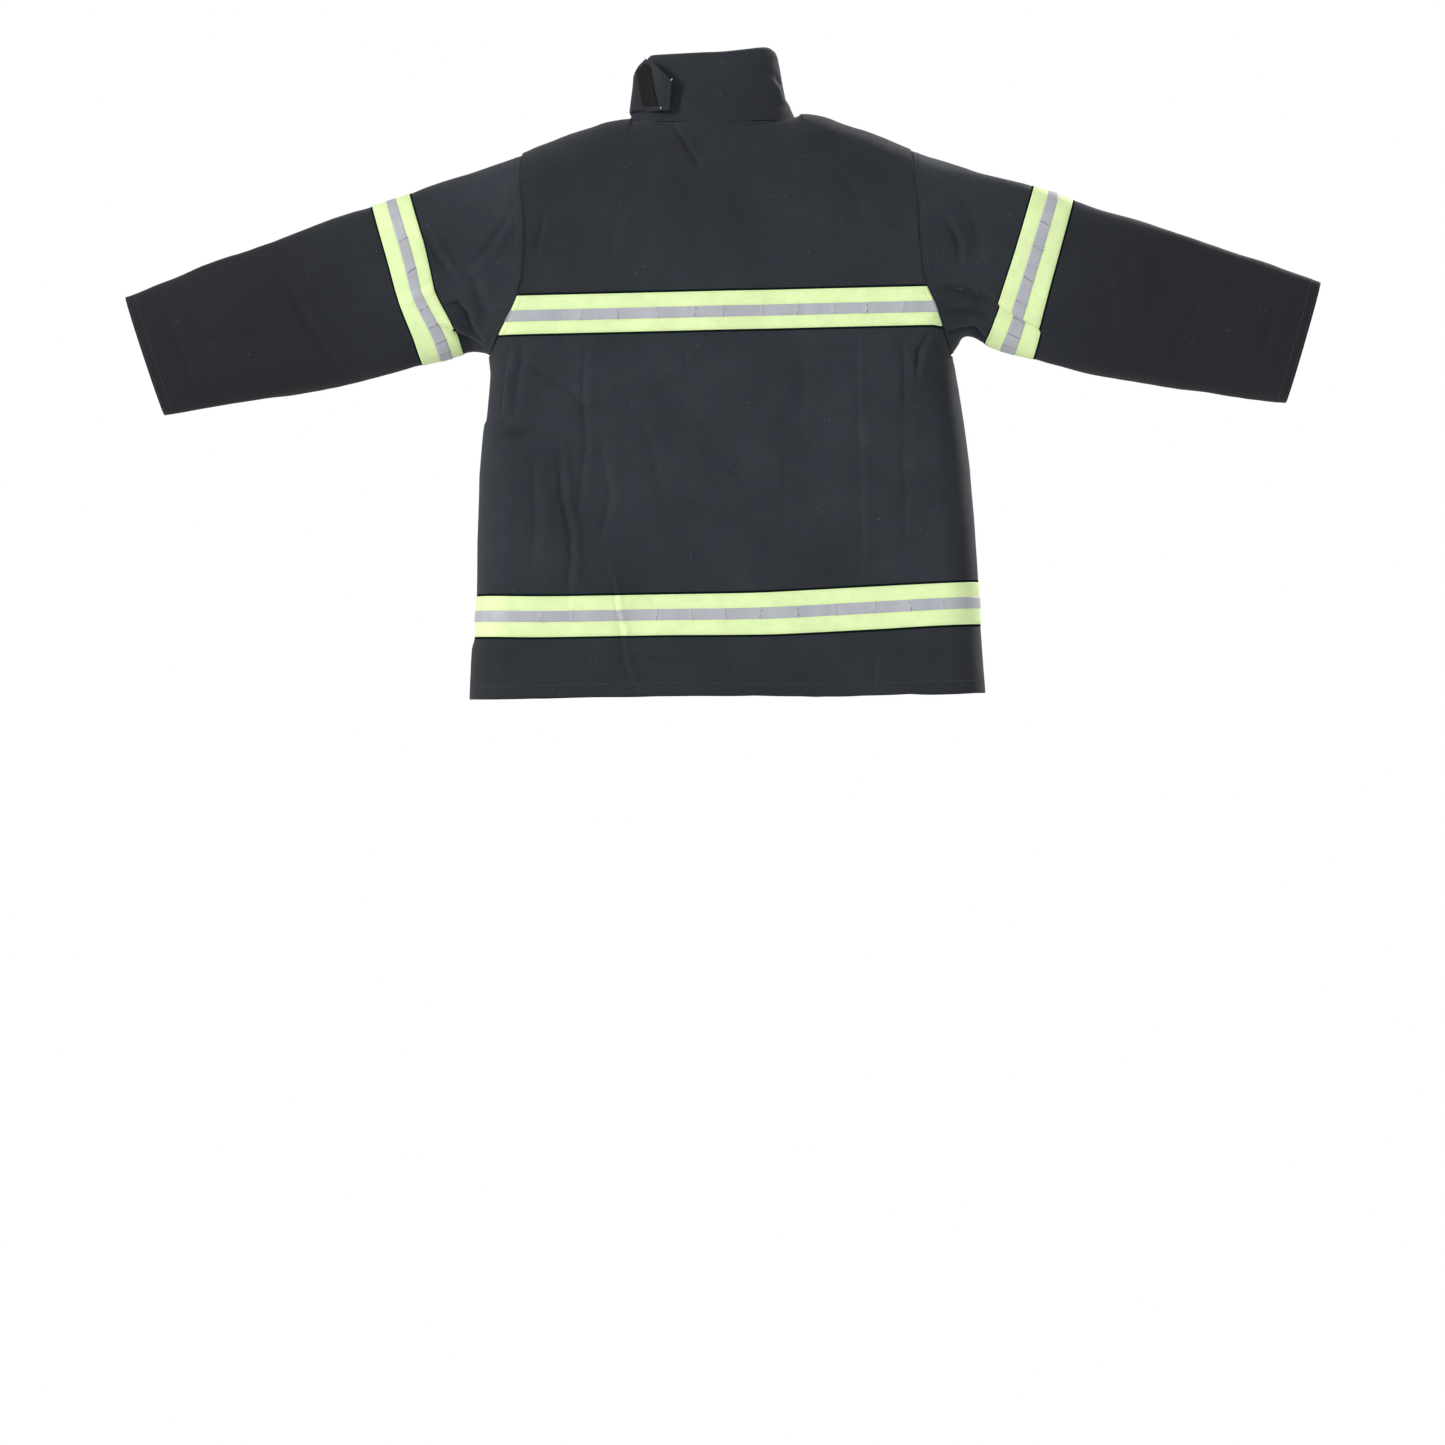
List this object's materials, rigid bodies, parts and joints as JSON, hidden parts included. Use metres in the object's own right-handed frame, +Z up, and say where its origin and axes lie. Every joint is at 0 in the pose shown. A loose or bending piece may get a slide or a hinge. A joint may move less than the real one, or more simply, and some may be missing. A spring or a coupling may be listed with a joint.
{
  "type": "turnout coat",
  "caption": "Firefighter turnout coat hanging from its neck loop: stand collar with throat tab, zip under a storm flap, bellows pockets, high-visibility bands, knit wristlets.",
  "frame": {"origin": "under the middle of the hanger loop inside the back of the neck, where a hook carries the coat; the back neck seam is 6.6 mm above it", "axes": "+Z up as the coat hangs; +X towards the wearer's right sleeve, along the coat's span; +Y from the coat's back to its front"},
  "size_m": [1.498, 0.1475, 0.8038],
  "materials": {
    "outer_cloth": "matte woven aramid cloth",
    "liner_cloth": "matte quilted lining",
    "bright_tape": "matte woven fluorescent tape",
    "silver_tape": "satin retroreflective film",
    "hook_and_loop": "matte",
    "zip_tape": "matte woven",
    "zip_metal": "satin",
    "knit": "matte rib knit",
    "loop_strap": "matte woven webbing"
  },
  "bodies": {
    "coat_body": {"back_panel": "outer_cloth", "body_liner": "liner_cloth", "left_side_panel": "outer_cloth", "right_side_panel": "outer_cloth", "chest_tape_back": "bright_tape", "chest_silver_back": "silver_tape", "chest_tape_left_side": "bright_tape", "chest_tape_right_side": "bright_tape", "chest_silver_left_side": "silver_tape", "chest_silver_right_side": "silver_tape", "hem_tape_back": "bright_tape", "hem_silver_back": "silver_tape", "collar": "outer_cloth", "collar_lining": "liner_cloth", "hanger_loop": "loop_strap", "left_sleeve_head": "outer_cloth", "right_sleeve_head": "outer_cloth"},
    "left_front": {"left_front_panel": "outer_cloth", "left_front_liner": "liner_cloth", "chest_tape_left_front": "bright_tape", "chest_silver_left_front": "silver_tape", "hem_tape_left_front": "bright_tape", "hem_silver_left_front": "silver_tape", "left_collar_wing": "outer_cloth", "left_zip_tape": "zip_tape", "left_zip_teeth": "zip_metal", "left_pocket": "outer_cloth"},
    "right_front": {"right_front_panel": "outer_cloth", "right_front_liner": "liner_cloth", "chest_tape_right_front": "bright_tape", "chest_silver_right_front": "silver_tape", "hem_tape_right_front": "bright_tape", "hem_silver_right_front": "silver_tape", "right_collar_wing": "outer_cloth", "right_zip_tape": "zip_tape", "right_zip_teeth": "zip_metal", "right_pocket": "outer_cloth", "storm_flap_loop": "hook_and_loop", "collar_loop_patch": "hook_and_loop"},
    "storm_cover": {"storm_flap": "outer_cloth", "storm_flap_hook": "hook_and_loop"},
    "left_flap": {"left_pocket_flap": "outer_cloth"},
    "right_flap": {"right_pocket_flap": "outer_cloth"},
    "slider": {"zip_slider": "zip_metal"},
    "pull": {"zip_pull": "zip_metal"},
    "tab": {"throat_tab": "outer_cloth", "throat_tab_hook": "hook_and_loop"},
    "left_arm": {"left_sleeve": "outer_cloth", "left_sleeve_liner": "liner_cloth", "left_sleeve_tape": "bright_tape", "left_sleeve_silver": "silver_tape", "left_wristlet": "knit"},
    "right_arm": {"right_sleeve": "outer_cloth", "right_sleeve_liner": "liner_cloth", "right_sleeve_tape": "bright_tape", "right_sleeve_silver": "silver_tape", "right_wristlet": "knit"}
  },
  "joints": [
    {"name": "left_front_open", "type": "hinge", "parent": "coat_body", "child": "left_front", "pos_m": [-0.072, 0.0891, -0.0434], "axis": [0.3132, -0.0159, 0.9496], "range_deg": [0, 90]},
    {"name": "right_front_open", "type": "hinge", "parent": "coat_body", "child": "right_front", "pos_m": [0.072, 0.0891, -0.0434], "axis": [0.3132, 0.0159, -0.9496], "range_deg": [0, 90]},
    {"name": "storm_flap_open", "type": "hinge", "parent": "left_front", "child": "storm_cover", "pos_m": [-0.04, 0.08987, -0.0574], "axis": [0, -0.0167, 0.9999], "range_deg": [0, 90]},
    {"name": "left_pocket_flap_open", "type": "hinge", "parent": "left_front", "child": "left_flap", "pos_m": [-0.114, 0.09903, -0.4204], "axis": [1, 0, 0], "range_deg": [0, 135]},
    {"name": "right_pocket_flap_open", "type": "hinge", "parent": "right_front", "child": "right_flap", "pos_m": [0.114, 0.09903, -0.4204], "axis": [1, 0, 0], "range_deg": [0, 135]},
    {"name": "zip_slide", "type": "slide", "parent": "left_front", "child": "slider", "axis": [0, 0.0167, -0.9999], "range_m": [0, 0.65]},
    {"name": "zip_pull_swing", "type": "hinge", "parent": "slider", "child": "pull", "pos_m": [0, 0.09176, -0.0329], "axis": [1, 0, 0], "range_deg": [0, 135]},
    {"name": "throat_tab_swing", "type": "hinge", "parent": "coat_body", "child": "tab", "pos_m": [-0.05, 0.08447, 0.035], "axis": [0, 0.165, 0.9863], "range_deg": [-120, 0]},
    {"name": "left_sleeve_raise", "type": "hinge", "parent": "coat_body", "child": "left_arm", "pos_m": [-0.305, 0.0348, -0.1984], "axis": [0, 1, 0], "range_deg": [-22, 45], "deforming": ["left_sleeve_head"]},
    {"name": "right_sleeve_raise", "type": "hinge", "parent": "coat_body", "child": "right_arm", "pos_m": [0.305, 0.0348, -0.1984], "axis": [0, -1, 0], "range_deg": [-22, 45], "deforming": ["right_sleeve_head"]}
  ],
  "couplings": [
    {"joint": "right_front_open", "follows": "left_front_open", "ratio": 1}
  ]
}
